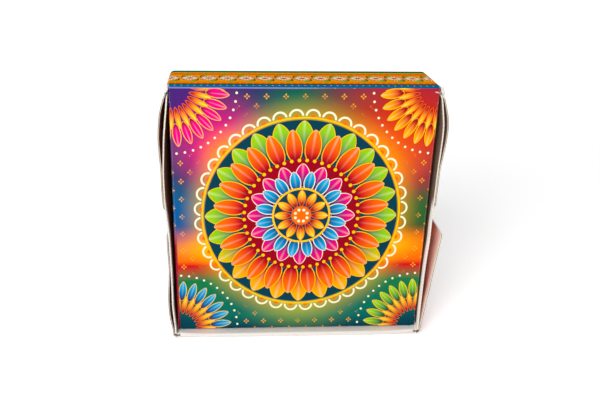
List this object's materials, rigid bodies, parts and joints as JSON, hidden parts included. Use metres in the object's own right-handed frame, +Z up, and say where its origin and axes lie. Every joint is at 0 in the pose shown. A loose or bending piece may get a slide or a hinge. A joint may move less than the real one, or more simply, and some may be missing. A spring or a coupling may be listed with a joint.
{
  "type": "sweet box",
  "caption": "Square folded sweet box of printed micro-flute board, standing on its front wall, with a creased hinged lid, side flanges, a tuck flap and pasted corner ears.",
  "frame": {"origin": "middle of the front wall's outer face, which the box stands on", "axes": "+X to the right seen from the lid's side, +Y from the lid towards the base panel, +Z up, from the front wall to the hinge wall"},
  "size_m": [0.1711, 0.0444, 0.1635],
  "materials": {
    "printed_board": "micro-flute board, printed and varnished outside, white inside, raw cut edges",
    "crushed_score": "the same board crushed thin along a score, its print worn pale",
    "dried_paste": "dried paste, off-white and matt"
  },
  "bodies": {
    "tray": {"base_panel": "printed_board", "hinge_wall": "printed_board", "front_wall": "printed_board", "front_rim": "printed_board", "front_lining": "printed_board", "left_wall": "printed_board", "right_wall": "printed_board", "left_wall_tab": "printed_board", "right_wall_tab": "printed_board", "hinge_left_ear": "printed_board", "hinge_right_ear": "printed_board", "front_left_ear": "printed_board", "hinge_left_paste": "dried_paste", "hinge_right_paste": "dried_paste", "front_left_paste": "dried_paste", "lid_crease": "crushed_score", "loose_ear_crease": "crushed_score"},
    "lid": {"lid_panel": "printed_board", "left_flange_crease": "crushed_score", "right_flange_crease": "crushed_score", "tuck_crease": "crushed_score"},
    "left_flange": {"left_flange": "printed_board"},
    "right_flange": {"right_flange": "printed_board"},
    "tuck": {"tuck_flap": "printed_board"},
    "loose_ear": {"front_right_ear": "printed_board"}
  },
  "joints": [
    {"name": "lid_fold", "type": "hinge", "parent": "tray", "child": "lid", "pos_m": [0, -0.02133, 0.1626], "axis": [-1, 0, 0], "range_deg": [-3, 178], "deforming": ["lid_crease"]},
    {"name": "left_flange_fold", "type": "hinge", "parent": "lid", "child": "left_flange", "pos_m": [-0.07577, -0.01908, 0.08323], "axis": [0, 0.0283, -0.9996], "range_deg": [0, 85], "deforming": ["left_flange_crease"]},
    {"name": "right_flange_fold", "type": "hinge", "parent": "lid", "child": "right_flange", "pos_m": [0.07577, -0.01908, 0.08323], "axis": [0, -0.0283, 0.9996], "range_deg": [0, 85], "deforming": ["right_flange_crease"]},
    {"name": "tuck_fold", "type": "hinge", "parent": "lid", "child": "tuck", "pos_m": [0, -0.01685, 0.00476], "axis": [1, 0, 0], "range_deg": [-7, 75], "deforming": ["tuck_crease"]},
    {"name": "loose_ear_fold", "type": "hinge", "parent": "tray", "child": "loose_ear", "pos_m": [0.07687, 0, 0.0025], "axis": [0, 1, 0], "range_deg": [-5.2, 83.5], "deforming": ["loose_ear_crease"]}
  ]
}
